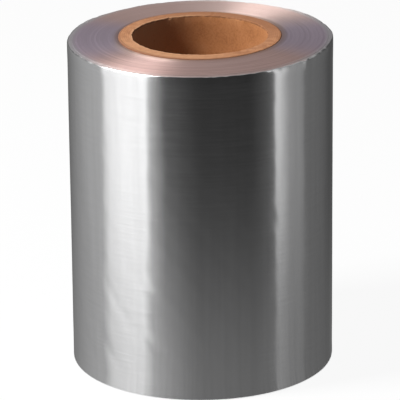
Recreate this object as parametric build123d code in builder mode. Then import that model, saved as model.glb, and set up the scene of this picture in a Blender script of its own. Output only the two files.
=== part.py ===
from build123d import *
import math
import os

# Roll of aluminium sealing film, wound on a spiral-wound card core and standing on its end.
# The roll's axis is +Z. The origin is on that axis, in the plane that the roll stands on.
# Lengths are in millimetres and angles in degrees.

# Card core
core_bore = 76.0  # fits the 76 mm spindle of a sealing machine
core_wall = 8.0
core_length = 190.0
core_lift = 1.7  # lower end of the core above the floor: the roll is a little dished
core_outer_chamfer = 0.6  # trimmed outer corners, which leave a dark groove beside the film
core_bore_chamfer = 0.5  # crushed inner corners

# Wound film
film_width = 190.0
film_thickness = 0.1
roll_diameter = 150.0  # over the free end of the film, where the roll is thickest
core_clearance = 0.05  # between the core and the first turn
free_end_angle = 118.0  # place of the film's free end, counted from +X towards +Y

# Ends of the winding, where bands of turns have wandered sideways
band_count = 11
dish_height = 1.0  # innermost turns above the outermost ones
band_wander = 0.15  # largest sideways wander of one band
wander_step = 2.4  # phase from one band to the next, in radians
top_lip_width = 0.5  # outermost turns, bent over at the upper end
top_lip_drop = 0.8
foot_lip_width = 0.2  # the same at the lower end, which the roll stands on
foot_lip_drop = 0.2
outline_margin = 2.0  # how far the end outline reaches past the film

core_bore_radius = core_bore / 2
core_outer_radius = core_bore_radius + core_wall
film_inner_radius = core_outer_radius + core_clearance
film_outer_radius = roll_diameter / 2
band_width = (film_outer_radius - film_inner_radius) / band_count


def band_offset(band):
    """Height of one band's lower end above the floor, where band 0 lies on the core.

    The outermost band stands on the floor, and the others rise towards the core.
    """
    inward = band_count - 1 - band
    wander = band_wander * math.sin(wander_step * inward) ** 2
    return dish_height * inward / (band_count - 1) + wander


def band_steps(base):
    """Corners of the stepped end of the winding, from the core outwards, without the outer lip."""
    corners = []
    for band in range(band_count):
        height = base + band_offset(band)
        corners.append((film_inner_radius + band * band_width, height))
        corners.append((film_inner_radius + (band + 1) * band_width, height))
    return corners[:-1]


def lip_corners(base, width, drop):
    """Start and end of a lip, which slopes from the outermost band to past the film."""
    start = (film_outer_radius - width, base)
    reach = width + outline_margin
    end = (film_outer_radius + outline_margin, base - drop * reach / width)
    return [start, end]


# Card core: a straight tube with trimmed corners
with BuildPart() as card_core:
    with BuildSketch(Plane.XY.offset(core_lift)) as core_section:
        Circle(core_outer_radius)
        Circle(core_bore_radius, mode=Mode.SUBTRACT)
    extrude(amount=core_length)
    end_rims = card_core.edges().filter_by(GeomType.CIRCLE)
    chamfer(end_rims.group_by(SortBy.RADIUS)[-1], length=core_outer_chamfer)
    end_rims = card_core.edges().filter_by(GeomType.CIRCLE)
    chamfer(end_rims.group_by(SortBy.RADIUS)[0], length=core_bore_chamfer)
card_core.part.label = "card_core"

# Wound film: the last turn is a spiral of two half circles, so its free end is a step one film thick.
# The revolved outline then trims both ends to the bands of turns and the lips.
with BuildPart() as film_winding:
    with BuildSketch(Plane.XY.rotated((0, 0, free_end_angle))) as turn_section:
        with BuildLine():
            CenterArc((0, 0), film_outer_radius, 0, 180)
            CenterArc((-film_thickness / 2, 0), film_outer_radius - film_thickness / 2, 180, 180)
            Line((film_outer_radius - film_thickness, 0), (film_outer_radius, 0))
        make_face()
        Circle(film_inner_radius, mode=Mode.SUBTRACT)
    extrude(amount=film_width + dish_height + band_wander)
    with BuildSketch(Plane.XZ) as end_outline:
        with BuildLine():
            foot = band_steps(0) + lip_corners(0, foot_lip_width, -foot_lip_drop)
            top = band_steps(film_width) + lip_corners(film_width, top_lip_width, top_lip_drop)
            Polyline(*foot, *reversed(top), close=True)
        make_face()
    revolve(axis=Axis.Z, mode=Mode.INTERSECT)
film_winding.part.label = "film_winding"

os.makedirs("parts", exist_ok=True)
for piece in (card_core, film_winding):
    export_step(piece.part, f"parts/{piece.part.label}.step")
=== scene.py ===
"""Dressed model of a roll of aluminium sealing film that stands on its end.

The roll is a strip of bright foil laminate, wound on a kraft card core. The two pieces here replace
the solids card_core and film_winding. Sizes in the classes are in millimetres unless they say
otherwise, and meshes are made in metres. The front is the side that the photograph shows.
"""

import logging
import math
from dataclasses import dataclass, field
from enum import Enum
from typing import Sequence

import bmesh
import bpy
import numpy as np
from mathutils import Matrix, Vector


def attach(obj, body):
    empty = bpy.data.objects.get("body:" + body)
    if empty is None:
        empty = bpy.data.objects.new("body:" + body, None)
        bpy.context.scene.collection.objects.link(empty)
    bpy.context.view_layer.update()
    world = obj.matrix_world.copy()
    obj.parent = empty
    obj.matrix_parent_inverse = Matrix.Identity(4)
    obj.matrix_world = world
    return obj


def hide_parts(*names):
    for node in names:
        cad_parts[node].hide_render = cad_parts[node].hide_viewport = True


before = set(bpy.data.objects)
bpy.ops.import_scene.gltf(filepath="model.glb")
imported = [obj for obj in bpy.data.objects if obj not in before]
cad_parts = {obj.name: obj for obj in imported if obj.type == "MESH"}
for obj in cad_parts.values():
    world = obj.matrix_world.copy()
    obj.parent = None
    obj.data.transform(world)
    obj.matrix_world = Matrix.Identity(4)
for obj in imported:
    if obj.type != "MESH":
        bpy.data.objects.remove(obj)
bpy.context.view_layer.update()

LOG = logging.getLogger("film_roll")
MM = 0.001
FULL_TURN = 2 * math.pi
FRONT = -math.pi / 2  # the front's direction, counted from +X
WHITE = (1.0, 1.0, 1.0, 1.0)

Colour = tuple[float, float, float]
Grid = np.ndarray
Rows = list[tuple[Grid | float, Grid | float]]
Socket = bpy.types.NodeSocket


class Zone(Enum):
    """Part of a piece's skin, by the number of its material."""

    SIDE = 0
    END = 1


class Seen(Enum):
    """Kinds of ray that a stage object answers to."""

    REFLECTIONS = "reflections"
    ALL = "all"


def smooth(value: Grid, low: float, high: float) -> Grid:
    """Smooth step from 0 at low to 1 at high.

    Args:
        value: Numbers to grade.
        low: Where the step starts.
        high: Where the step ends.

    Returns:
        The graded numbers, each from 0 to 1.
    """
    part = np.clip((value - low) / (high - low), 0.0, 1.0)
    return part * part * (3.0 - 2.0 * part)


def around(angle: Grid, centre: float) -> Grid:
    """Angle measured from a centre, in radians from minus pi to pi.

    Args:
        angle: Angles in radians.
        centre: Angle that becomes zero.

    Returns:
        The wrapped differences.
    """
    return (angle - centre + math.pi) % FULL_TURN - math.pi


def from_front(angle: Grid) -> Grid:
    """Angle from the front to the right, in degrees."""
    return np.degrees(around(angle, FRONT))


@dataclass(frozen=True)
class Ripple:
    """Closed ripple round the roll, with a mean of about zero.

    Each wave has its count round the roll and its height. The start is a phase that sets one ripple
    apart from another, and the twist turns it by so many radians for each millimetre of height.
    """

    waves: tuple[tuple[int, float], ...]
    start: float
    twist: float = 0.0
    wave_step: float = 1.7

    def at(self, angle: Grid, height: float = 0.0, number: int = 1) -> Grid:
        """Reads the ripple.

        Args:
            angle: Angles in radians.
            height: Height of the row, for a ripple that twists.
            number: Number of the row, for rows that each have a ripple of their own.

        Returns:
            The ripple's height at each angle.
        """
        turned = angle + self.twist * height
        total = np.zeros_like(angle)
        for order, (count, tall) in enumerate(self.waves):
            phase = self.start * number * (order + 1) ** 2 + self.wave_step * order
            total = total + tall * np.sin(count * turned + phase)
        return total


@dataclass(frozen=True)
class Fade:
    """Smooth change of a mask between two readings of a value."""

    low: float
    high: float
    at_low: float
    at_high: float


@dataclass(frozen=True)
class Pattern:
    """Noise pattern: its scale, count of octaves and weight of the finer ones."""

    scale: float
    detail: float
    rough: float


class Shade:
    """Node tree of one material or group, with short calls that add and join nodes."""

    def __init__(self, tree: bpy.types.NodeTree) -> None:
        """Takes over a tree and empties it."""
        self.tree = tree
        self.tree.nodes.clear()

    def add(self, kind: str, settings: dict | None = None, **values: object) -> bpy.types.Node:
        """Adds a node.

        Args:
            kind: Node type, without the ShaderNode prefix.
            settings: Attributes of the node.
            **values: Input values or sockets to join, by the input's name with _ for spaces.

        Returns:
            The new node.
        """
        node = self.tree.nodes.new(kind if kind.startswith("Node") else "ShaderNode" + kind)
        for name, value in (settings or {}).items():
            setattr(node, name, value)
        for name, value in values.items():
            self.put(node.inputs[name.replace("_", " ")], value)
        return node

    def put(self, socket: Socket, value: object) -> None:
        """Joins a socket to an input, or sets the input's own value."""
        if isinstance(value, bpy.types.NodeSocket):
            self.tree.links.new(value, socket)
        else:
            socket.default_value = value

    def show(self, kind: str, shader: bpy.types.Node) -> None:
        """Joins a shader to a new output of the tree, such as OutputMaterial."""
        self.put(self.add(kind).inputs["Surface"], shader.outputs[0])

    def math(self, action: str, *terms: object) -> Socket:
        """Adds a Math node.

        Args:
            action: The node's operation.
            *terms: Numbers or sockets, in order.

        Returns:
            The result's socket.
        """
        node = self.add("Math", {"operation": action})
        for socket, term in zip(node.inputs, terms):
            self.put(socket, term)
        return node.outputs[0]

    def times(self, first: object, *others: object) -> Socket:
        """Multiplies numbers or sockets, in order."""
        for other in others:
            first = self.math("MULTIPLY", first, other)
        return first

    def reach(self, x: Socket, y: Socket) -> Socket:
        """Distance from the roll's axis."""
        return self.math("SQRT", self.math("ADD", self.times(x, x), self.times(y, y)))

    def grade(self, value: object, fade: Fade) -> Socket:
        """Maps a value to a mask.

        Args:
            value: Number socket to map.
            fade: The mask's change over the value.

        Returns:
            The mask's socket.
        """
        node = self.add("MapRange", {"interpolation_type": "SMOOTHSTEP"})
        terms = (value, fade.low, fade.high, fade.at_low, fade.at_high)
        for socket, term in zip(node.inputs, terms):
            self.put(socket, term)
        return node.outputs[0]

    def blend(self, part: object, first: object, second: object) -> Socket:
        """Mixes two colours.

        Args:
            part: Share of the second colour.
            first: Colour or socket.
            second: Colour or socket.

        Returns:
            The mixed colour's socket.
        """
        node = self.add("Mix", {"data_type": "RGBA"})
        for place, value in ((0, part), (6, first), (7, second)):
            self.put(node.inputs[place], (*value, 1.0) if isinstance(value, tuple) else value)
        return node.outputs[2]

    def ramp(self, value: object, *stops: tuple[float, Colour]) -> Socket:
        """Adds a colour ramp.

        Args:
            value: Number socket that runs along the ramp.
            *stops: Place and colour of each stop, in order.

        Returns:
            The colour's socket.
        """
        node = self.add("ValToRGB", None, Fac=value)
        marks = node.color_ramp.elements
        while len(marks) < len(stops):
            marks.new(0.5)
        for mark, (place, colour) in zip(marks, stops):
            mark.position = place
            mark.color = (*colour, 1.0)
        return node.outputs[0]

    def place(self) -> Socket:
        """Point of the surface, in metres from the origin."""
        return self.add("TexCoord").outputs["Object"]

    def split(self, vector: Socket) -> bpy.types.NodeOutputs:
        """Parts of a vector."""
        return self.add("SeparateXYZ", None, Vector=vector).outputs

    def vector(self, x: object, y: object, z: object) -> Socket:
        """Joins three numbers to a vector."""
        return self.add("CombineXYZ", None, X=x, Y=y, Z=z).outputs[0]

    def noise(self, place: object, pattern: Pattern) -> Socket:
        """Adds a noise texture.

        Args:
            place: Vector socket.
            pattern: The noise's scale and octaves.

        Returns:
            The noise's value, about 0.5 on average.
        """
        values = {"Scale": pattern.scale, "Detail": pattern.detail, "Roughness": pattern.rough}
        return self.add("TexNoise", None, Vector=place, **values).outputs[0]

    def halves(self, first: Socket, second: Socket, share: float = 0.5) -> Socket:
        """Adds two values, the first at a share of one and the second at the rest."""
        return self.math("ADD", self.times(first, share), self.times(second, 1.0 - share))

    def bump(self, height: object, depth: float, under: Socket | None = None) -> Socket:
        """Adds a bump.

        Args:
            height: Height socket, about 0 to 1.
            depth: Depth of a height of 1, in metres.
            under: Normal of a bump that lies below this one.

        Returns:
            The normal's socket.
        """
        node = self.add("Bump", None, Height=height, Strength=1.0, Distance=depth)
        if under is not None:
            self.put(node.inputs["Normal"], under)
        return node.outputs[0]


class Groups:
    """Node groups for the finishes, each built once."""

    _made: dict[str, bpy.types.NodeTree] = {}

    @classmethod
    def _tree(cls, name: str, inputs: dict[str, float], outputs: Sequence[str]) -> Shade:
        """Starts a group and its sockets, which all hold numbers.

        Args:
            name: The group's name.
            inputs: Name and default of each input.
            outputs: Name of each output.

        Returns:
            The group's empty shade.
        """
        tree = bpy.data.node_groups.new(name, "ShaderNodeTree")
        kind = "NodeSocketFloat"
        for title, value in inputs.items():
            socket = tree.interface.new_socket(name=title, in_out="INPUT", socket_type=kind)
            socket.default_value = value
        for title in outputs:
            tree.interface.new_socket(name=title, in_out="OUTPUT", socket_type=kind)
        cls._made[name] = tree
        return Shade(tree)

    @classmethod
    def polar(cls) -> bpy.types.NodeTree:
        """Radius and height in millimetres, and the point on a unit circle round the roll's axis."""
        name = "RoundTheAxis"
        if name in cls._made:
            return cls._made[name]
        shade = cls._tree(name, {}, ("Radius", "Height", "Across", "Along"))
        x, y, z = shade.split(shade.place())
        radius = shade.reach(x, y)
        out = shade.add("NodeGroupOutput")
        shade.put(out.inputs["Radius"], shade.times(radius, 1 / MM))
        shade.put(out.inputs["Height"], shade.times(z, 1 / MM))
        shade.put(out.inputs["Across"], shade.math("DIVIDE", x, radius))
        shade.put(out.inputs["Along"], shade.math("DIVIDE", y, radius))
        return shade.tree

    @classmethod
    def specks(cls) -> bpy.types.NodeTree:
        """Sparse small marks, such as dark fibres in card, as a mask from 0 to 1."""
        name = "SparseMarks"
        if name in cls._made:
            return cls._made[name]
        shade = cls._tree(name, {"Scale": 400.0, "Share": 0.2, "Stretch": 1.0}, ("Mask",))
        given = shade.add("NodeGroupInput").outputs
        x, y, z = shade.split(shade.place())
        where = shade.vector(x, y, shade.times(z, given["Stretch"]))
        cells = shade.add("TexVoronoi", {"feature": "F1"}, Vector=where, Scale=given["Scale"])
        near = shade.grade(cells.outputs["Distance"], Fade(0.05, 0.3, 1.0, 0.0))
        pick = shade.add("SeparateColor", None, Color=cells.outputs["Color"]).outputs[0]
        kept = shade.math("LESS_THAN", pick, given["Share"])
        shade.put(shade.add("NodeGroupOutput").inputs["Mask"], shade.times(near, kept))
        return shade.tree


@dataclass
class Spot:
    """Where a point of the surface lies, as sockets: across is to the right, along is to the back."""

    radius: Socket
    height: Socket
    across: Socket
    along: Socket

    @classmethod
    def on(cls, shade: Shade) -> "Spot":
        """Reads the point in a shade."""
        return cls(*shade.add("Group", {"node_tree": Groups.polar()}).outputs)


def new_material(name: str) -> tuple[bpy.types.Material, Shade]:
    """Starts a material.

    Args:
        name: The material's name.

    Returns:
        The material and its empty shade.
    """
    material = bpy.data.materials.new(name)
    material.use_nodes = True
    return material, Shade(material.node_tree)


def new_skin(shade: Shade) -> bpy.types.NodeInputs:
    """Adds a Principled shader, joined to the output, and gives its inputs."""
    skin = shade.add("BsdfPrincipled")
    shade.show("OutputMaterial", skin)
    return skin.inputs


@dataclass(frozen=True)
class FoilFinish:
    """Bright rolled foil on the outside of the roll, with its grain round the roll."""

    bright: Colour = (0.89, 0.89, 0.895)
    dull: Colour = (0.835, 0.835, 0.84)
    dull_below: float = 0.38
    bright_above: float = 0.62
    grain: Pattern = Pattern(38.0, 3.0, 0.6)
    grain_squeeze: float = 40.0
    streak: Pattern = Pattern(210.0, 3.0, 0.6)
    streak_squeeze: float = 0.06
    roughness: Fade = Fade(0.3, 0.7, 0.156, 0.184)
    anisotropy: float = 1.0
    grain_turn: float = 0.25

    def material(self) -> bpy.types.Material:
        """Builds the foil's material."""
        material, shade = new_material("bright_foil")
        skin = new_skin(shade)
        x, y, z = shade.split(shade.place())
        grain = shade.noise(shade.vector(x, y, shade.times(z, self.grain_squeeze)), self.grain)
        streak = shade.noise(shade.vector(x, y, shade.times(z, self.streak_squeeze)), self.streak)
        stops = ((self.dull_below, self.dull), (self.bright_above, self.bright))
        shade.put(skin["Base Color"], shade.ramp(shade.halves(grain, streak), *stops))
        shade.put(skin["Roughness"], shade.grade(grain, self.roughness))
        skin["Metallic"].default_value = 1.0
        skin["Anisotropic"].default_value = self.anisotropy
        skin["Anisotropic Rotation"].default_value = self.grain_turn
        return material


@dataclass(frozen=True)
class EdgeFinish:
    """Cut edges of the film's turns on the roll's ends, rose and pale at random, with painted light:
    a paler painted light at the back, a lilac painted reflection at the sides, a silver painted
    reflection near the rim, peach painted highlights at the back-right and near the core, and
    painted shade near the core.

    Fades named for a side go by the direction round the roll, from -1 to 1, and others by the radius.
    """

    rose: Colour = (0.485, 0.308, 0.281)
    pale: Colour = (0.80, 0.575, 0.530)
    # Painted reflection: lilac at the sides of the ends.
    lilac: Colour = (0.69, 0.575, 0.70)
    # Painted reflection: silver near the rim, most at the sides.
    silver: Colour = (0.77, 0.755, 0.76)
    # Painted highlight: peach at the back-right, and near the core in two sectors.
    peach: Colour = (0.98, 0.76, 0.69)
    shadow: Colour = (0.42, 0.245, 0.170)
    rose_below: float = 0.30
    pale_above: float = 0.76
    fine: Pattern = Pattern(2.6, 2.0, 0.6)
    broad: Pattern = Pattern(0.45, 2.0, 0.5)
    fine_share: float = 0.55
    turn_spread: float = 0.5
    # Painted light: paler towards the back of the ends.
    painted_light_back: Fade = Fade(0.0, 0.95, 0.0, 0.75)
    # Painted reflection at the sides of the ends.
    painted_reflection_sides: Fade = Fade(0.55, 0.98, 0.0, 0.9)
    # Painted highlight at the back-right of the ends.
    painted_highlight_back: Fade = Fade(0.75, 1.1, 0.0, 0.5)
    painted_highlight_skew: float = 0.6
    # Painted reflection near the rim, stronger at the sides.
    painted_reflection_rim: Fade = Fade(69.5, 73.6, 0.0, 0.8)
    painted_reflection_rim_sides: Fade = Fade(0.2, 0.9, 0.3, 1.0)
    # Painted highlight near the core, in the front-left and back-right sectors.
    painted_highlight_sector: Fade = Fade(0.1, 0.4, 0.0, 1.0)
    painted_highlight_inside: Fade = Fade(47.5, 54.0, 0.55, 0.0)
    core_shadow: Fade = Fade(46.1, 50.5, 0.65, 0.0)
    roughness: Fade = Fade(0.3, 0.7, 0.52, 0.32)
    relief: float = 0.00005
    metallic: float = 0.8
    anisotropy: float = 0.95
    grain_turn: float = 0.25

    def material(self) -> bpy.types.Material:
        """Builds the material of the roll's ends."""
        material, shade = new_material("film_edges")
        skin = new_skin(shade)
        spot = Spot.on(shade)
        spread = (shade.times(way, self.turn_spread) for way in (spot.across, spot.along))
        turns = shade.vector(spot.radius, *spread)
        fine = shade.noise(turns, self.fine)
        tone = shade.halves(fine, shade.noise(turns, self.broad), self.fine_share)
        shade.put(skin["Base Color"], self._colour(shade, spot, tone))
        shade.put(skin["Roughness"], shade.grade(fine, self.roughness))
        shade.put(skin["Normal"], shade.bump(fine, self.relief))
        skin["Metallic"].default_value = self.metallic
        skin["Anisotropic"].default_value = self.anisotropy
        skin["Anisotropic Rotation"].default_value = self.grain_turn
        return material

    def _colour(self, shade: Shade, spot: Spot, tone: Socket) -> Socket:
        """Colour of the turns' edges, with painted light, painted reflections, painted highlights and
        painted shade.

        Args:
            shade: The material's shade.
            spot: Where the point lies.
            tone: Tone of each turn, about 0 to 1.

        Returns:
            The colour's socket.
        """
        colour = shade.ramp(tone, (self.rose_below, self.rose), (self.pale_above, self.pale))
        # Painted light: paler towards the back.
        colour = shade.blend(shade.grade(spot.along, self.painted_light_back), colour, self.pale)
        # Painted reflection: lilac at the sides.
        sides = shade.times(spot.across, spot.across)
        colour = shade.blend(shade.grade(sides, self.painted_reflection_sides), colour, self.lilac)
        # Painted highlight: peach at the back-right.
        back = shade.math("MULTIPLY_ADD", spot.across, self.painted_highlight_skew, spot.along)
        colour = shade.blend(shade.grade(back, self.painted_highlight_back), colour, self.peach)
        # Painted reflection: silver near the rim, stronger at the sides.
        rim = shade.times(shade.grade(spot.radius, self.painted_reflection_rim), shade.grade(sides, self.painted_reflection_rim_sides))
        colour = shade.blend(rim, colour, self.silver)
        # Painted highlight: peach near the core in the front-left and back-right sectors.
        highlight_sector = shade.grade(shade.times(spot.across, spot.along), self.painted_highlight_sector)
        inside = shade.times(highlight_sector, shade.grade(spot.radius, self.painted_highlight_inside))
        colour = shade.blend(inside, colour, self.peach)
        return shade.blend(shade.grade(spot.radius, self.core_shadow), colour, self.shadow)


@dataclass(frozen=True)
class KraftFinish:
    """Unbleached card, with fibres, ply edges on the ends and a spiral seam in the bore. Its colour
    also holds painted light: painted shade on the bore's left wall, at the back of the ends, along
    the frayed bore edge and in the groove round the core, and painted highlights on the ends'
    front-left and on the bore's inner edge at the left.

    Fades named for a side go by the direction round the core, from -1 to 1. Those of the ends and of
    the painted fray shadow go by the distance from the core's middle, and those of the bore and
    groove by the radius.
    """

    body: Colour = (0.48, 0.205, 0.082)
    light: Colour = (0.57, 0.270, 0.125)
    dark: Colour = (0.28, 0.108, 0.040)
    # Painted shade: greyer, darker colour for the bore's left wall.
    painted_bore_shade: Colour = (0.36, 0.235, 0.150)
    cut: Colour = (0.52, 0.258, 0.138)
    # Darker mottled tone of the ends, also used as painted shade towards their back and right.
    worn_and_shade: Colour = (0.330, 0.148, 0.076)
    # Painted highlight: light tan on the ends' front-left and on the bore's inner edge at the left.
    lip: Colour = (0.64, 0.365, 0.205)
    shadow: Colour = (0.25, 0.120, 0.070)
    # Painted shadow in broken dark dashes along the frayed bore edge.
    fray_shadow: Colour = (0.14, 0.060, 0.030)
    tone_stops: tuple[float, float, float] = (0.30, 0.50, 0.72)
    blotch_stops: tuple[float, float] = (0.34, 0.62)
    blotch_share: float = 0.8
    mark_share: float = 0.5
    mark_scale: float = 420.0
    mark_density: float = 0.12
    mark_stretch: float = 0.5
    cloud: Pattern = Pattern(60.0, 4.0, 0.6)
    fibre: Pattern = Pattern(900.0, 3.0, 0.7)
    blotch: Pattern = Pattern(210.0, 3.0, 0.65)
    fray_shadow_noise: Pattern = Pattern(320.0, 2.0, 0.5)
    # Painted shade on the bore's left wall.
    painted_shade_left: Fade = Fade(-0.9, 0.0, 0.75, 0.0)
    painted_shade_bore: Fade = Fade(38.5, 39.0, 1.0, 0.0)
    ends: Fade = Fade(94.2, 94.9, 0.0, 1.0)
    # Painted shade towards the back and right of the ends.
    painted_shade_back: Fade = Fade(-0.1, 0.85, 0.0, 0.8)
    painted_shade_skew: float = 0.45
    # Painted highlights on the ends' front-left and on the bore's inner edge at the left.
    lip_highlight_front: Fade = Fade(-1.1, -0.5, 0.32, 0.0)
    lip_highlight_skew: float = 0.6
    lip_highlight_bore: Fade = Fade(38.6, 40.0, 0.7, 0.0)
    lip_highlight_left: Fade = Fade(-0.3, 0.3, 1.0, 0.0)
    # Painted shadow along the frayed bore edge.
    fray_shadow_from: Fade = Fade(93.8, 94.1, 0.0, 1.0)
    fray_shadow_to: Fade = Fade(94.5, 94.8, 1.0, 0.0)
    fray_shadow_breaks: Fade = Fade(0.36, 0.60, 0.35, 0.8)
    ply_edge: Fade = Fade(0.30, 0.5, 0.0, 0.35)
    seam_edge: Fade = Fade(0.0, 0.006, 0.45, 0.0)
    groove: Fade = Fade(44.3, 45.7, 0.0, 1.0)
    groove_left: Fade = Fade(-0.9, 0.7, 0.85, 0.15)
    middle: float = 96.7
    ply: float = 1.15
    seam_pitch: float = 150.0
    fibre_relief: float = 0.00012
    line_relief: float = -0.0002
    roughness: float = 0.85
    gloss: float = 0.25

    def material(self) -> bpy.types.Material:
        """Builds the card's material."""
        material, shade = new_material("kraft_card")
        skin = new_skin(shade)
        spot = Spot.on(shade)
        place = shade.place()
        fibre = shade.noise(place, self.fibre)
        tone = shade.halves(shade.noise(place, self.cloud), fibre)
        colour = shade.ramp(tone, *zip(self.tone_stops, (self.dark, self.body, self.light)))
        # Painted shade: greyer and darker on the bore's left wall.
        bore_shade = shade.grade(spot.across, self.painted_shade_left)
        bore_shade = shade.times(bore_shade, shade.grade(spot.radius, self.painted_shade_bore))
        colour = self._ends(shade, spot, place, shade.blend(bore_shade, colour, self.painted_bore_shade))
        lines = self._lines(shade, spot)
        colour = shade.blend(lines, colour, self.dark)
        values = {"Scale": self.mark_scale, "Share": self.mark_density, "Stretch": self.mark_stretch}
        marks = shade.add("Group", {"node_tree": Groups.specks()}, **values).outputs["Mask"]
        colour = shade.blend(shade.times(marks, self.mark_share), colour, self.dark)
        groove = shade.grade(spot.radius, self.groove)
        groove = shade.times(groove, shade.grade(spot.across, self.groove_left))
        shade.put(skin["Base Color"], shade.blend(groove, colour, self.shadow))
        fuzz = shade.bump(fibre, self.fibre_relief)
        shade.put(skin["Normal"], shade.bump(lines, self.line_relief, fuzz))
        skin["Roughness"].default_value = self.roughness
        skin["Specular IOR Level"].default_value = self.gloss
        return material

    def _ends(self, shade: Shade, spot: Spot, place: Socket, colour: Socket) -> Socket:
        """Colours the cut ends, with painted shade at their back and painted highlights on their
        front-left and on the bore's inner edge at the left, and paints a shadow in broken dashes just
        below each end, where the frayed bore edge overhangs.

        Args:
            shade: The material's shade.
            spot: Where the point lies.
            place: The same as a vector.
            colour: Colour of the card below.

        Returns:
            The colour's socket.
        """
        from_middle = shade.math("ABSOLUTE", shade.math("SUBTRACT", spot.height, self.middle))
        ends = shade.grade(from_middle, self.ends)
        blotch = shade.ramp(shade.noise(place, self.blotch), *zip(self.blotch_stops, (self.worn_and_shade, self.cut)))
        colour = shade.blend(shade.times(ends, self.blotch_share), colour, blotch)
        # Painted shade towards the back and right of the ends.
        back = shade.math("MULTIPLY_ADD", spot.across, self.painted_shade_skew, spot.along)
        colour = shade.blend(shade.times(ends, shade.grade(back, self.painted_shade_back)), colour, self.worn_and_shade)
        # Painted highlight on the ends' front-left.
        front = shade.math("MULTIPLY_ADD", spot.across, self.lip_highlight_skew, spot.along)
        colour = shade.blend(shade.times(ends, shade.grade(front, self.lip_highlight_front)), colour, self.lip)
        # Painted highlight on the bore's inner edge at the left.
        rim = shade.grade(spot.radius, self.lip_highlight_bore)
        rim = shade.times(ends, rim, shade.grade(spot.across, self.lip_highlight_left))
        colour = shade.blend(rim, colour, self.lip)
        # Painted shadow in broken dashes just below each end, where the frayed bore edge overhangs.
        fray_shade = shade.times(shade.grade(from_middle, self.fray_shadow_from), shade.grade(from_middle, self.fray_shadow_to))
        fray_shade = shade.times(fray_shade, shade.grade(shade.noise(place, self.fray_shadow_noise), self.fray_shadow_breaks))
        return shade.blend(fray_shade, colour, self.fray_shadow)

    def _lines(self, shade: Shade, spot: Spot) -> Socket:
        """Mask of the lines between plies and of the spiral seam.

        Args:
            shade: The material's shade.
            spot: Where the point lies.

        Returns:
            The mask's socket.
        """
        ply = shade.math("FRACT", shade.math("DIVIDE", spot.radius, self.ply))
        turn = shade.math("DIVIDE", shade.math("ARCTAN2", spot.along, spot.across), FULL_TURN)
        rise = shade.math("DIVIDE", spot.height, self.seam_pitch)
        seam = shade.math("FRACT", shade.math("ADD", rise, turn))
        masks = []
        for part, edge in ((ply, self.ply_edge), (seam, self.seam_edge)):
            aside = shade.math("ABSOLUTE", shade.math("SUBTRACT", part, 0.5))
            masks.append(shade.grade(aside, edge))
        return shade.math("MAXIMUM", *masks)


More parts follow.
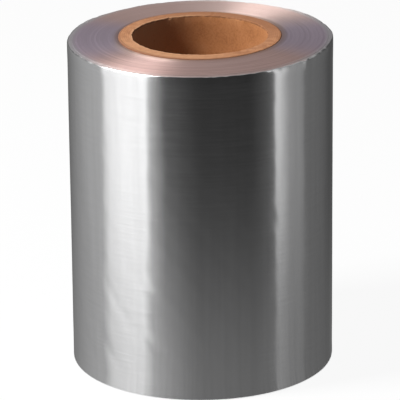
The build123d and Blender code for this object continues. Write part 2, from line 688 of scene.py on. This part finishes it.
@dataclass
class Skin:
    """Closed skin round the roll's axis, made of rows of points that run round it."""

    name: str
    angles: Grid
    sharp_above: float = 32.0
    weld_within: float = 2e-6
    no_area_below: float = 1e-7
    hidden_room: float = 0.05
    sheet_margin: float = 0.004
    radii: list[Grid] = field(default_factory=list)
    heights: list[Grid] = field(default_factory=list)
    zones: list[Zone] = field(default_factory=list)
    room: list[float] = field(default_factory=list)

    def row(self, radius: Grid | float, height: Grid | float, zone: Zone, hidden: bool = False) -> None:
        """Adds a row.

        Args:
            radius: Radius at each angle, in millimetres.
            height: Height at each angle, in millimetres.
            zone: Part of the skin between this row and the next.
            hidden: Whether that part lies against the other piece, out of sight.
        """
        blank = np.zeros_like(self.angles)
        self.radii.append(blank + radius)
        self.heights.append(blank + height)
        self.zones.append(zone)
        self.room.append(self.hidden_room if hidden else 1.0)

    def mesh_object(self, materials: Sequence[bpy.types.Material]) -> bpy.types.Object:
        """Makes the mesh and its object.

        Args:
            materials: Materials in the order of the zones.

        Returns:
            The object, linked to the scene.
        """
        radius = np.array(self.radii) * MM
        height = np.array(self.heights) * MM
        rows, columns = radius.shape
        points = np.stack([radius * np.cos(self.angles), radius * np.sin(self.angles), height], axis=2)
        index = np.arange(rows * columns).reshape(rows, columns)
        after = np.roll(index, -1, axis=0)
        corners = [index, np.roll(index, -1, axis=1), np.roll(after, -1, axis=1), after]
        quads = np.stack(corners, axis=2)
        mesh = bpy.data.meshes.new(self.name)
        mesh.from_pydata(points.reshape(-1, 3).tolist(), [], quads.reshape(-1, 4).tolist())
        for material in materials:
            mesh.materials.append(material)
        zone = np.repeat([z.value for z in self.zones], columns)
        mesh.polygons.foreach_set("material_index", zone.astype(np.int32))
        self._lay_flat(mesh, radius, height)
        self._weld(mesh)
        mesh.shade_smooth()
        mesh.set_sharp_from_angle(angle=math.radians(self.sharp_above))
        piece = bpy.data.objects.new(self.name, mesh)
        bpy.context.scene.collection.objects.link(piece)
        return piece

    def _lay_flat(self, mesh: bpy.types.Mesh, radius: Grid, height: Grid) -> None:
        """Lays the skin out as one flat sheet for its texture, round the roll and along its rows.

        Args:
            mesh: Mesh with four corners to each face.
            radius: Radius of each point.
            height: Height of each point.
        """
        outwards = np.roll(radius, -1, axis=0) - radius
        upwards = np.roll(height, -1, axis=0) - height
        steps = np.hypot(outwards, upwards).mean(axis=1) * np.array(self.room)
        along = np.concatenate([[0.0], np.cumsum(steps)]) / steps.sum()
        turn = np.arange(radius.shape[1] + 1) / radius.shape[1]
        sheet = np.empty((*radius.shape, 4, 2), dtype=np.float32)
        sheet[..., 0] = np.stack([turn[:-1], turn[1:], turn[1:], turn[:-1]], axis=1)[None]
        sheet[..., 1] = np.stack([along[:-1], along[:-1], along[1:], along[1:]], axis=1)[:, None]
        layer = mesh.uv_layers.new(name="OFBake")
        inside = self.sheet_margin + (1.0 - 2.0 * self.sheet_margin) * sheet
        layer.data.foreach_set("uv", inside.ravel())

    def _weld(self, mesh: bpy.types.Mesh) -> None:
        """Joins points that meet, drops faces without area and turns all faces outwards."""
        work = bmesh.new()
        work.from_mesh(mesh)
        bmesh.ops.remove_doubles(work, verts=work.verts, dist=self.weld_within)
        bmesh.ops.dissolve_degenerate(work, edges=work.edges, dist=self.no_area_below)
        bmesh.ops.recalc_face_normals(work, faces=work.faces)
        work.to_mesh(mesh)
        work.free()


@dataclass(frozen=True)
class Crease:
    """Shallow fold line in the foil, between two points given by angle from the front and height."""

    start: tuple[float, float]
    end: tuple[float, float]
    depth: float
    width: float
    fade_in: tuple[float, float] = (-0.15, 0.3)
    fade_out: tuple[float, float] = (0.6, 1.15)

    def dent(self, angle: Grid, height: float, radius: float) -> Grid:
        """Depth of the fold at each point of a row of the side.

        Args:
            angle: Angles from the front, in degrees.
            height: The row's height.
            radius: The roll's radius.

        Returns:
            Depths in millimetres.
        """
        arc = radius * math.pi / 180
        ax, az = self.start[0] * arc, self.start[1]
        bx, bz = self.end[0] * arc, self.end[1]
        length = math.hypot(bx - ax, bz - az)
        ux, uz = (bx - ax) / length, (bz - az) / length
        dx, dz = angle * arc - ax, height - az
        along = (dx * ux + dz * uz) / length
        aside = dx * uz - dz * ux
        window = smooth(along, *self.fade_in) * (1 - smooth(along, *self.fade_out))
        return self.depth * window * np.exp(-((aside / self.width) ** 2))


@dataclass(frozen=True)
class RimWear:
    """Stretch of the upper rim whose outer turns are rolled over, by degrees from the front."""

    start: float
    end: float
    fade_in: float
    fade_out: float
    width: float
    drop: float

    def share(self, angle: Grid) -> Grid:
        """Share of the wear at each angle.

        Args:
            angle: Angles from the front, in degrees.

        Returns:
            Numbers from 0 to 1.
        """
        rise = smooth(angle, self.start - self.fade_in, self.start + self.fade_in)
        return rise * (1 - smooth(angle, self.end - self.fade_out, self.end + self.fade_out))


@dataclass
class FilmWinding:
    """Wound film: side, lips and the bands of turns on both ends."""

    outer_radius: float = 75.0
    inner_radius: float = 46.05
    film_width: float = 190.0
    film_thickness: float = 0.1
    free_end_angle: float = 118.0
    tuck_depth: float = 0.22
    tuck_width: float = 0.03
    columns: int = 384
    foil: FoilFinish = FoilFinish()
    edges: EdgeFinish = EdgeFinish()

    # Ends
    band_count: int = 11
    band_inset: float = 0.3
    dish_height: float = 1.0
    band_wander: float = 0.15
    wander_step: float = 2.4
    top_rings: int = 5
    foot_rings: int = 3
    ring_jitter: float = 0.012
    first_ring_drop: float = 0.12
    jitter_step: float = 12.9898
    jitter_start: float = 4.1
    ring_waver: Ripple = Ripple(((2, 0.02), (5, 0.010), (11, 0.004)), 0.37)
    end_margin: float = 2.85
    end_lean: float = 0.55

    # Lips
    lip_inset: float = 0.02
    lip_steps: int = 5
    foot_lip: float = 0.12
    top_lip: float = 0.22
    lip_least: float = -0.05
    lip_drop: Ripple = Ripple(((19, 0.05), (43, 0.05), (71, 0.05), (113, 0.04)), 1.3)
    lip_width: Ripple = Ripple(((9, 0.12), (23, 0.10), (51, 0.07)), 0.6)
    lip_dip: Ripple = Ripple(((31, 0.03), (59, 0.03), (83, 0.025), (127, 0.02)), 2.9)
    rim_wear: tuple[RimWear, ...] = (
        RimWear(-112.0, -50.0, 12.0, 3.0, 0.8, 1.2),
        RimWear(-45.0, -21.0, 2.0, 3.0, 0.9, 1.7),
        RimWear(30.0, 50.0, 8.0, 1.0, 1.3, 3.6),
        RimWear(53.0, 84.0, 2.0, 9.0, 1.5, 2.6),
        RimWear(100.0, 118.0, 6.0, 6.0, 0.8, 1.6),
        RimWear(140.0, 168.0, 9.0, 2.0, 1.2, 2.6),
        RimWear(-150.0, -128.0, 3.0, 9.0, 1.0, 2.2),
    )

    # Nicks in the upper rim: degrees from the front, and depth
    nick_width: float = 1.2
    nick_share: float = 0.4
    nicks: tuple[tuple[float, float], ...] = (
        (-19.5, 0.7), (-15.0, 0.4), (2.5, 0.5), (6.0, 0.4), (10.5, 0.6), (16.0, 0.3), (23.0, 0.5),
        (31.0, 0.4), (37.0, 0.6), (43.0, 0.5), (50.5, 0.9), (57.0, 0.4), (64.0, 0.5), (70.0, 0.7),
        (77.0, 0.5), (88.0, 0.5), (-47.0, 0.5), (-53.0, 0.4), (-59.0, 0.3), (-61.5, 0.4),
        (-70.0, 0.4), (-73.0, 0.3), (-86.0, 0.4), (109.0, 0.6), (127.0, 0.4), (139.0, 0.7),
        (158.0, 0.4), (-100.0, 0.5), (-117.0, 0.4), (-127.0, 0.7), (-163.0, 0.5),
    )

    # Side
    side_rows: int = 148
    side_inset: float = 0.01
    wave_room: float = 0.1
    calm_rows: int = 6
    above_foot_lip: float = 0.15
    below_rim: float = 5.4
    foot_slack: float = 1.25
    slack_loss: float = 0.75
    side_waves: tuple[Ripple, ...] = (
        Ripple(((9, 0.020), (16, 0.018), (29, 0.010)), 0.8, 0.0022),
        Ripple(((13, 0.018), (37, 0.007)), 2.1, -0.004),
        Ripple(((23, 0.008), (41, 0.005)), 0.3, 0.011),
    )
    creases: tuple[Crease, ...] = (
        Crease((-47.0, 66.0), (-25.0, 24.0), 0.135, 3.2),
        Crease((-41.0, 54.0), (-22.0, 30.0), 0.120, 2.8),
        Crease((-34.0, 76.0), (-19.0, 58.0), 0.100, 3.6),
        Crease((-29.0, 42.0), (-18.0, 26.0), 0.105, 3.2),
        Crease((-56.0, 40.0), (-34.0, 6.0), 0.120, 3.2),
        Crease((-66.0, 30.0), (-46.0, 2.0), 0.080, 3.2),
        Crease((-47.0, 22.0), (-30.0, 8.0), 0.065, 2.6),
        Crease((-70.0, 120.0), (-60.0, 84.0), 0.030, 4.0),
        Crease((30.0, 112.0), (36.0, 92.0), 0.040, 3.4),
        Crease((34.0, 62.0), (50.0, 20.0), 0.040, 4.0),
        Crease((150.0, 130.0), (166.0, 92.0), 0.070, 3.6),
        Crease((158.0, 118.0), (170.0, 100.0), 0.050, 3.0),
        Crease((-122.0, 72.0), (-106.0, 28.0), 0.065, 3.4),
        Crease((94.0, 150.0), (106.0, 108.0), 0.050, 3.6),
    )

    def build(self) -> bpy.types.Object:
        """Builds the winding.

        Returns:
            The dressed object.
        """
        turn = np.linspace(0.0, FULL_TURN, self.columns + 1)
        angle = turn + math.radians(self.free_end_angle)
        skin = Skin("wound_film", angle)
        self._foot(skin, angle, turn)
        self._side(skin, angle, turn)
        self._top(skin, angle, turn)
        return skin.mesh_object([self.foil.material(), self.edges.material()])

    def outline(self, turn: Grid) -> Grid:
        """Radius of the outermost turn, which falls by one film in a turn and dips at its free end.

        Args:
            turn: Angles counted from the free end, from 0 to a full turn.

        Returns:
            Radii in millimetres.
        """
        tuck = self.tuck_depth * np.exp(-(((FULL_TURN - turn) / self.tuck_width) ** 2))
        return self.outer_radius - self.film_thickness * turn / FULL_TURN - tuck

    def band_offset(self, band: int) -> float:
        """Height of a band's lower end above the floor, where band 0 lies on the core."""
        inward = self.band_count - 1 - band
        wander = self.band_wander * math.sin(self.wander_step * inward) ** 2
        return self.dish_height * inward / (self.band_count - 1) + wander

    def rings(self, per_band: int) -> list[tuple[float, float]]:
        """Rings of turns on an end, from the core outwards.

        Args:
            per_band: Count of rings in a band.

        Returns:
            Radius and axial offset of each ring.
        """
        width = (self.outer_radius - self.inner_radius) / self.band_count
        found = []
        for band in range(self.band_count - 1):
            start = self.inner_radius + band * width
            inset = self.band_inset if band else 0.0
            for step in range(per_band):
                part = step / (per_band - 1)
                radius = start + inset * (1 - part) + (width - self.band_inset) * part
                found.append((radius, self.band_offset(band)))
        found.append((self.outer_radius - self.end_margin, 0.0))
        return found

    def _lean(self, angle: Grid, radius: Grid | float) -> Grid:
        """Rise of the upper end towards the right, because its turns lean a little."""
        return math.tan(math.radians(self.end_lean)) * radius * np.cos(angle)

    def _lifts(self, angle: Grid, rings: Sequence[tuple[float, float]], first: float) -> list[Grid]:
        """Height of each ring above its end's plane, with small wanders of its turns.

        Args:
            angle: Angle of each column.
            rings: Radius and offset of each ring.
            first: Wander of the first ring, which lies on the core.

        Returns:
            Heights in millimetres, none below zero.
        """
        found = []
        for ring, (_, offset) in enumerate(rings):
            jitter, wave = first, self.ring_waver.at(angle, number=ring)
            if ring:
                jitter = self.ring_jitter * math.sin(self.jitter_step * ring * ring + self.jitter_start)
            if ring == len(rings) - 1:
                jitter, wave = 0.0, np.zeros_like(angle)
            found.append(np.maximum(offset + jitter + wave, 0.0))
        return found

    def _foot(self, skin: Skin, angle: Grid, turn: Grid) -> None:
        """Adds the rows of the lower end and its lip, from the core outwards.

        Args:
            skin: Skin that takes the rows.
            angle: Angle of each column.
            turn: The same, counted from the free end.
        """
        rings = self.rings(self.foot_rings)
        for (radius, _), lift in zip(rings, self._lifts(angle, rings, 0.0)):
            skin.row(radius, lift, Zone.END)
        outline = self.outline(turn) - self.lip_inset
        skin.row(outline - self.foot_lip, 0.0, Zone.SIDE)
        skin.row(outline, self.foot_lip, Zone.SIDE)

    def _side(self, skin: Skin, angle: Grid, turn: Grid) -> None:
        """Adds the rows of the side, with its waves and creases.

        Args:
            skin: Skin that takes the rows.
            angle: Angle of each column.
            turn: The same, counted from the free end.
        """
        front = from_front(angle)
        outline = self.outline(turn) - self.side_inset
        low = self.foot_lip + self.above_foot_lip
        high = self.film_width - self.below_rim
        last = self.side_rows - 1
        for row in range(self.side_rows):
            height = low + (high - low) * row / last
            calm = min(1.0, row / self.calm_rows, (last - row) / self.calm_rows)
            slack = self.foot_slack - self.slack_loss * row / last
            wave = sum(part.at(angle, height) for part in self.side_waves)
            dent = sum(crease.dent(front, height, self.outer_radius) for crease in self.creases)
            skin.row(outline - calm * (dent + self.wave_room + slack * wave), height, Zone.SIDE)

    def _top(self, skin: Skin, angle: Grid, turn: Grid) -> None:
        """Adds the rows of the upper lip and end, from the side inwards.

        Args:
            skin: Skin that takes the rows.
            angle: Angle of each column.
            turn: The same, counted from the free end.
        """
        for step, (radius, height) in enumerate(self._top_lip(angle, turn)):
            skin.row(radius, height, Zone.SIDE if step < self.lip_steps - 1 else Zone.END)
        rings = self.rings(self.top_rings)
        lifts = self._lifts(angle, rings, -self.first_ring_drop)
        for ring in reversed(range(len(rings))):
            radius = rings[ring][0]
            height = self.film_width + lifts[ring] + self._lean(angle, radius)
            skin.row(radius, height, Zone.END, hidden=ring == 0)

    def _top_lip(self, angle: Grid, turn: Grid) -> Rows:
        """Upper lip, which is rolled over and nicked, from the side inwards.

        Args:
            angle: Angle of each column.
            turn: The same, counted from the free end.

        Returns:
            Radius and height of each row.
        """
        outline = self.outline(turn) - self.lip_inset
        front = from_front(angle)
        drop = self.top_lip + np.maximum(self.lip_drop.at(angle), self.lip_least)
        width = self.top_lip + np.maximum(self.lip_width.at(angle), self.lip_least)
        for wear in self.rim_wear:
            share = wear.share(front)
            drop = drop + share * (wear.drop - self.top_lip)
            width = width + share * (wear.width - self.top_lip)
        dip = np.maximum(self.lip_dip.at(angle), 0.0)
        for centre, depth in self.nicks:
            aside = np.degrees(around(np.radians(front), math.radians(centre)))
            dip = dip + self.nick_share * depth * np.exp(-((aside / self.nick_width) ** 2))
        rows = []
        for step in range(self.lip_steps):
            bend = step / (self.lip_steps - 1) * math.pi / 2
            radius = outline - width * (1 - math.cos(bend))
            height = self.film_width - dip - drop * (1 - math.sin(bend)) + self._lean(angle, radius)
            rows.append((radius, height))
        return rows


@dataclass(frozen=True)
class FrayRow:
    """Row of the frayed bore edge: its share of the fray, way outwards, depth and share of the wear."""

    fray: float
    out: float
    depth: float
    wear: float


@dataclass
class CardCore:
    """Spiral-wound card tube with trimmed corners and a frayed bore edge."""

    bore_radius: float = 38.0
    outer_radius: float = 46.0
    length: float = 190.0
    lift: float = 1.7
    outer_chamfer: float = 0.6
    columns: int = 600
    kraft: KraftFinish = KraftFinish()

    # Wall and bore
    wall_rows: int = 12
    bore_rows: int = 40
    bore_margin: float = 6.0
    bore_waver: float = 0.03
    bore_lobes: int = 3
    bore_twist: float = 30.0

    # Ends
    mean_fray: float = 0.4
    least_fray: float = 0.2
    fray: Ripple = Ripple(((13, 0.12), (23, 0.12), (47, 0.12), (71, 0.09), (97, 0.06)), 0.9)
    wear: Ripple = Ripple(((5, 0.05), (17, 0.05), (41, 0.04)), 2.3)
    fray_rows: tuple[FrayRow, ...] = (
        FrayRow(0.0, 0.0, 1.5, 0.0),
        FrayRow(0.5, 0.0, 0.8, 2.0),
        FrayRow(1.0, 0.0, 0.3, 1.0),
        FrayRow(1.0, 0.15, 0.04, 0.0),
    )
    face: Ripple = Ripple(((3, 0.5), (23, 0.4), (61, 0.4)), 1.1)
    face_rough: float = 0.025
    face_inset: float = 0.03
    face_margin: float = 2.4
    face_rows: int = 9
    bend_inset: float = 0.25
    bend_depth: float = 0.21
    bend_wear: float = 0.1

    def build(self) -> bpy.types.Object:
        """Builds the core.

        Returns:
            The dressed object.
        """
        angle = np.linspace(0.0, FULL_TURN, self.columns, endpoint=False)
        skin = Skin("kraft_core", angle)
        low, high = self.lift, self.lift + self.length
        foot = self._end(angle, low, 1)
        for radius, height in foot[:-1]:
            skin.row(radius, height, Zone.SIDE)
        skin.row(*foot[-1], Zone.SIDE, hidden=True)
        for row in range(1, self.wall_rows):
            height = low + self.length * row / self.wall_rows
            skin.row(self.outer_radius, height, Zone.SIDE, hidden=True)
        for radius, height in reversed(self._end(angle, high, -1)):
            skin.row(radius, height, Zone.SIDE)
        depth = self.length - 2 * self.bore_margin
        for row in range(self.bore_rows):
            height = high - self.bore_margin - depth * row / (self.bore_rows - 1)
            waver = self.bore_waver * np.sin(angle * self.bore_lobes + height / self.bore_twist)
            skin.row(self.bore_radius + waver, height, Zone.SIDE)
        return skin.mesh_object([self.kraft.material()])

    def _end(self, angle: Grid, height: float, inward: int) -> Rows:
        """Rows of one end, from the bore outwards.

        Args:
            angle: Angle of each column.
            height: Height of the end.
            inward: Sign of the way along the axis into the core.

        Returns:
            Radius and height of each row.
        """
        fray = np.maximum(self.mean_fray + self.fray.at(angle), self.least_fray)
        wear = self.wear.at(angle)
        inner, outer = self.bore_radius, self.outer_radius
        rows: Rows = []
        for row in self.fray_rows:
            depth = row.depth + row.wear * wear
            rows.append((inner + row.fray * fray + row.out, height + inward * depth))
        first, last = inner + self.face_margin, outer - self.outer_chamfer
        for step in range(self.face_rows):
            radius = first + (last - first) * step / (self.face_rows - 1)
            rough = self.face_rough * self.face.at(angle, number=step)
            rows.append((radius, height + inward * (self.face_inset + np.abs(rough))))
        bend = self.bend_depth + self.bend_wear * np.abs(wear)
        rows.append((outer - self.bend_inset, height + inward * bend))
        rows.append((outer, height + inward * self.outer_chamfer))
        return rows


@dataclass(frozen=True)
class LightCard:
    """Soft-edged card of light, placed by the direction in which the roll mirrors it.

    Directions are in degrees from the front, to the right. The card glows at one level beside the
    roll and another far from it. Beside the roll it is narrower by its taper, and its edges are
    wider by its blur.
    """

    near: float
    far: float
    start: float = -400.0
    rise: float = 1.0
    end: float = 400.0
    fall: float = 1.0
    taper: float = 0.0
    blur: float = 0.0
    fade: float = 1.0

    def window(self, shade: Shade, turn: Socket, nearness: Socket) -> Socket:
        """Mask of the card.

        Args:
            shade: The cards' shade.
            turn: Direction round the roll.
            nearness: Share from the far end to the roll.

        Returns:
            The mask's socket, from 0 to 1.
        """
        shift = shade.times(nearness, self.taper)
        sides = []
        for sign, place, width in ((1.0, self.start, self.rise), (-1.0, self.end, self.fall)):
            past = shade.times(shade.math("SUBTRACT", turn, place), sign)
            inside = shade.math("SUBTRACT", past, shift)
            spread = shade.math("MULTIPLY_ADD", nearness, self.blur / 2, width / 2)
            edge = shade.math("DIVIDE", inside, spread)
            sides.append(shade.grade(edge, Fade(-1.0, 1.0, 0.0, 1.0)))
        return shade.times(*sides)

    def level(self, shade: Shade, nearness: Socket) -> Socket:
        """Glow of the card.

        Args:
            shade: The cards' shade.
            nearness: Share from the far end to the roll.

        Returns:
            The glow's socket.
        """
        away = shade.math("POWER", shade.math("SUBTRACT", 1.0, nearness), self.fade)
        beside = shade.math("POWER", nearness, self.fade)
        return shade.math("ADD", shade.times(away, self.far), shade.times(beside, self.near))


@dataclass(frozen=True)
class Tier:
    """Ring of cards at one height, with a glow that is there all round."""

    floor: LightCard
    cards: tuple[LightCard, ...]

    def glow(self, shade: Shade, turn: Socket, nearness: Socket) -> Socket:
        """Glow of the tier.

        Args:
            shade: The cards' shade.
            turn: Direction round the roll, in degrees from the front.
            nearness: Share from the far end to the roll.

        Returns:
            The glow's socket.
        """
        total = self.floor.level(shade, nearness)
        for card in self.cards:
            part = shade.times(card.window(shade, turn, nearness), card.level(shade, nearness))
            total = shade.math("ADD", total, part)
        return total


@dataclass(frozen=True)
class Lamp:
    """Soft square lamp that faces the roll. Its place and size are in metres, its power in watts."""

    name: str
    place: tuple[float, float, float]
    size: float
    power: float
    target: tuple[float, float, float] = (0.0, 0.0, 0.15)

    def build(self) -> None:
        """Puts the lamp in the scene."""
        light = bpy.data.lights.new(self.name, "AREA")
        light.shape = "RECTANGLE"
        light.size = light.size_y = self.size
        light.energy = self.power
        thing = bpy.data.objects.new(self.name, light)
        thing.location = self.place
        aim = Vector(self.target) - Vector(self.place)
        thing.rotation_euler = aim.to_track_quat("-Z", "Y").to_euler()
        thing.visible_glossy = False
        bpy.context.scene.collection.objects.link(thing)


@dataclass(frozen=True)
class Surround:
    """Cards of light on the floor and round the studio, which only reflections meet. In metres."""

    roll_radius: float = 0.075
    steps: int = 96
    rings: tuple[tuple[float, float], ...] = (
        (0.0752, 0.0004), (0.9, 0.0004), (0.9, 0.9), (0.7, 1.2), (0.02, 1.35),
    )
    mirror_rounds: int = 5
    nearness: Fade = Fade(0.0, 0.50, 1.0, 0.0)
    # Painted contact shadow: the cards' glow dims right beside the roll's foot.
    painted_contact_shadow: Fade = Fade(0.001, 0.006, 0.95, 1.0)
    streak: Pattern = Pattern(0.33, 3.0, 0.65)
    streak_swing: Fade = Fade(0.28, 0.72, -1.0, 1.0)
    streak_share: Fade = Fade(60.0, 80.0, 0.05, 0.16)
    high_above: Fade = Fade(0.60, 0.85, 0.0, 1.0)
    ceiling_above: Fade = Fade(1.18, 1.28, 0.0, 1.0)
    ceiling: Colour = (0.42, 0.42, 0.42)
    low: Tier = Tier(
        LightCard(0.095, 0.022, fade=1.25),
        (
            LightCard(0.085, 0.10, end=-148.0, fall=64.0),
            LightCard(0.285, 0.385, -142.0, 76.0, -46.6, 5.0, 2.4, 6.0),
            LightCard(0.205, 0.44, -93.0, 6.0, -46.6, 5.0, 2.4, 9.0),
            LightCard(0.125, 0.24, -84.0, 28.0, -46.6, 5.0, 2.4, 8.0),
            LightCard(0.0, 0.36, -46.4, 5.0, -38.0, 20.0),
            LightCard(0.212, 0.078, -48.8, 6.0, -24.0, 54.0),
            LightCard(0.075, 0.002, -50.0, 7.0, 60.0, 170.0, fade=1.25),
            LightCard(0.060, 0.45, 67.2, 2.0, 76.0, 14.0, fade=2.0),
            LightCard(0.0, 0.07, 67.2, 2.0, 88.0, 36.0),
            LightCard(0.040, 0.105, 61.0, 44.0, 100.5, 6.0),
            LightCard(0.036, 0.118, 69.0, 22.0, 145.0, 64.0),
            LightCard(0.085, 0.10, 162.0, 34.0, fade=1.5),
        ),
    )
    high: Tier = Tier(
        LightCard(0.12, 0.12),
        (
            LightCard(0.40, 0.40, end=-110.0, fall=40.0),
            LightCard(5.2, 5.2, -115.5, 19.0, -44.5, 9.0),
            LightCard(0.26, 0.26, 105.0, 90.0),
        ),
    )

    def mesh(self) -> bpy.types.Mesh:
        """Makes the surround's mesh, which is turned round the roll's axis.

        Returns:
            The mesh with its glow.
        """
        turns = [FULL_TURN * step / self.steps for step in range(self.steps)]
        points = [(r * math.cos(turn), r * math.sin(turn), z) for r, z in self.rings for turn in turns]
        faces = []
        for ring in range(len(self.rings) - 1):
            low, high = ring * self.steps, (ring + 1) * self.steps
            for step in range(self.steps):
                after = (step + 1) % self.steps
                faces.append((low + step, low + after, high + after, high + step))
        mesh = bpy.data.meshes.new("reflection_cards")
        mesh.from_pydata(points, [], faces)
        mesh.materials.append(self._glow())
        return mesh

    def _glow(self) -> bpy.types.Material:
        """Builds the cards' glow, which goes by the direction from the roll.

        Returns:
            The material.
        """
        material, shade = new_material("graded_cards")
        x, y, z = shade.split(shade.place())
        angle = shade.math("ARCTAN2", x, shade.times(y, -1.0))
        mirror, ahead = self._mirror(shade, angle, shade.reach(x, y))
        nearness = shade.grade(ahead, self.nearness)
        streak = shade.noise(shade.vector(mirror, 0.0, 0.0), self.streak)
        swing = shade.times(shade.grade(streak, self.streak_swing), shade.grade(mirror, self.streak_share))
        low = self.low.glow(shade, mirror, nearness)
        # Painted contact shadow in the low cards' glow beside the roll's foot.
        low = shade.times(low, shade.math("ADD", swing, 1.0), shade.grade(ahead, self.painted_contact_shadow))
        azimuth = shade.times(angle, 180 / math.pi)
        high = self.high.glow(shade, azimuth, nearness)
        share = shade.grade(z, self.high_above)
        glow = shade.blend(share, shade.vector(low, low, low), shade.vector(high, high, high))
        glow = shade.blend(shade.grade(z, self.ceiling_above), glow, self.ceiling)
        shade.show("OutputMaterial", shade.add("Emission", None, Color=glow, Strength=1.0))
        return material

    def _mirror(self, shade: Shade, angle: Socket, reach: Socket) -> tuple[Socket, Socket]:
        """Finds where the roll mirrors a point of the surround towards the front.

        Args:
            shade: The cards' shade.
            angle: The point's direction from the axis, in radians from the front.
            reach: Its distance from the axis.

        Returns:
            Direction of the mirrored ray in degrees from the front, and its length from the roll.
        """
        half = shade.times(angle, 0.5)
        for _ in range(self.mirror_rounds):
            offset = shade.math("DIVIDE", shade.times(shade.math("SINE", half), self.roll_radius), reach)
            half = shade.times(shade.math("ADD", angle, shade.math("ARCSINE", offset)), 0.5)
        across = shade.times(shade.math("SINE", half), self.roll_radius)
        square = shade.math("SUBTRACT", shade.times(reach, reach), shade.times(across, across))
        start = shade.times(shade.math("COSINE", half), self.roll_radius)
        ahead = shade.math("SUBTRACT", shade.math("SQRT", square), start)
        return shade.times(half, 360 / math.pi), ahead


@dataclass(frozen=True)
class Viewpoint:
    """Long-lens camera at the photograph's angle, with sizes in millimetres and pixels."""

    focal_px: float = 3496.0
    image_px: float = 400.0
    offset_px: tuple[float, float] = (1.567, -3.35)
    distance: float = 1999.0
    elevation: float = 19.46
    roll: float = -0.557
    aim: tuple[float, float, float] = (0.0, 0.0, 95.0)
    sensor: float = 36.0
    clip_end: float = 60.0

    def build(self) -> None:
        """Puts the camera in the scene."""
        tilt, spin = math.radians(self.elevation), math.radians(self.roll)
        back = Vector((0, -math.cos(tilt), math.sin(tilt)))
        level = Vector((1, 0, 0))
        up = back.cross(level)
        right = math.cos(spin) * level + math.sin(spin) * up
        above = -math.sin(spin) * level + math.cos(spin) * up
        scale = self.distance / self.focal_px
        aim = Vector(self.aim) - right * self.offset_px[0] * scale + above * self.offset_px[1] * scale
        eye = (aim + back * self.distance) * MM
        lens = bpy.data.cameras.new("camera")
        lens.sensor_width = self.sensor
        lens.lens = self.focal_px / self.image_px * self.sensor
        lens.clip_end = self.clip_end
        camera = bpy.data.objects.new("camera", lens)
        turn = Matrix((right, above, back)).transposed()
        camera.matrix_world = Matrix.Translation(eye) @ turn.to_4x4()
        bpy.context.scene.collection.objects.link(camera)
        bpy.context.scene.camera = camera


@dataclass
class Studio:
    """Pale floor, soft lamps, reflection cards and the camera."""

    floor_size: float = 12.0
    floor_grey: float = 0.88
    floor_glow: float = 0.93
    sky_light: Fade = Fade(0.0, 1.0, 0.08, 1.0)
    surround: Surround = Surround()
    key: Lamp = Lamp("key", (-1.05, -0.35, 1.25), 0.40, 35.5)
    fill: Lamp = Lamp("fill", (1.4, -0.6, 1.3), 0.8, 2.0)
    viewpoint: Viewpoint = Viewpoint()

    def build(self) -> None:
        """Builds the whole studio."""
        bpy.context.scene.view_settings.view_transform = "Standard"
        self._world()
        self._floor()
        self._place("reflection_cards", self.surround.mesh(), Seen.REFLECTIONS)
        self.key.build()
        self.fill.build()
        self.viewpoint.build()

    @staticmethod
    def _plain_rays(shade: Shade) -> Socket:
        """Mask of the rays that show the background as it is: camera, reflected and passing rays."""
        path = shade.add("LightPath").outputs
        pair = shade.math("MAXIMUM", path["Is Camera Ray"], path["Is Glossy Ray"])
        return shade.math("MAXIMUM", pair, path["Is Transmission Ray"])

    def _world(self) -> None:
        """Even white surroundings, softer for the light that they throw on the roll."""
        world = bpy.data.worlds.new("studio")
        bpy.context.scene.world = world
        world.use_nodes = True
        shade = Shade(world.node_tree)
        strength = shade.grade(self._plain_rays(shade), self.sky_light)
        shade.show("OutputWorld", shade.add("Background", None, Color=WHITE, Strength=strength))

    def _floor(self) -> None:
        """White floor that keeps the roll's shadow."""
        half = self.floor_size / 2
        mesh = bpy.data.meshes.new("floor")
        corners = [(-half, -half, 0), (half, -half, 0), (half, half, 0), (-half, half, 0)]
        mesh.from_pydata(corners, [], [(0, 1, 2, 3)])
        material, shade = new_material("pale_floor")
        plain = shade.add("BsdfDiffuse", None, Color=(*(self.floor_grey,) * 3, 1.0))
        glow = shade.add("Emission", None, Color=WHITE, Strength=1.0)
        mix = shade.add("MixShader", None, Fac=shade.times(self._plain_rays(shade), self.floor_glow))
        shade.put(mix.inputs[1], plain.outputs[0])
        shade.put(mix.inputs[2], glow.outputs[0])
        shade.show("OutputMaterial", mix)
        mesh.materials.append(material)
        self._place("floor", mesh, Seen.ALL)

    @staticmethod
    def _place(name: str, mesh: bpy.types.Mesh, seen: Seen) -> None:
        """Puts a stage object in the scene.

        Args:
            name: The object's name.
            mesh: Its mesh.
            seen: Rays that meet it.
        """
        thing = bpy.data.objects.new(name, mesh)
        bpy.context.scene.collection.objects.link(thing)
        if seen is Seen.REFLECTIONS:
            thing.visible_camera = False
            thing.visible_diffuse = False
            thing.visible_shadow = False
            thing.visible_transmission = False


def settle(piece: bpy.types.Object, node: str) -> None:
    """Puts a piece in its node's place.

    Args:
        piece: The dressed piece.
        node: Solid that it stands for.
    """
    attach(piece, "root")
    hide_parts(node)
    LOG.info("%s for %s: %d faces", piece.name, node, len(piece.data.polygons))


def plain(box: Sequence[Sequence[float]]) -> list[list[float]]:
    """A box's corners as plain lists."""
    return [[float(value) for value in corner] for corner in box]


def main() -> None:
    """Builds the roll and the studio."""
    logging.basicConfig(level=logging.INFO, format="%(name)s: %(message)s")
    settle(CardCore().build(), "card_core")
    settle(FilmWinding().build(), "film_winding")
    Studio().build()


if __name__ == "__main__":
    main()
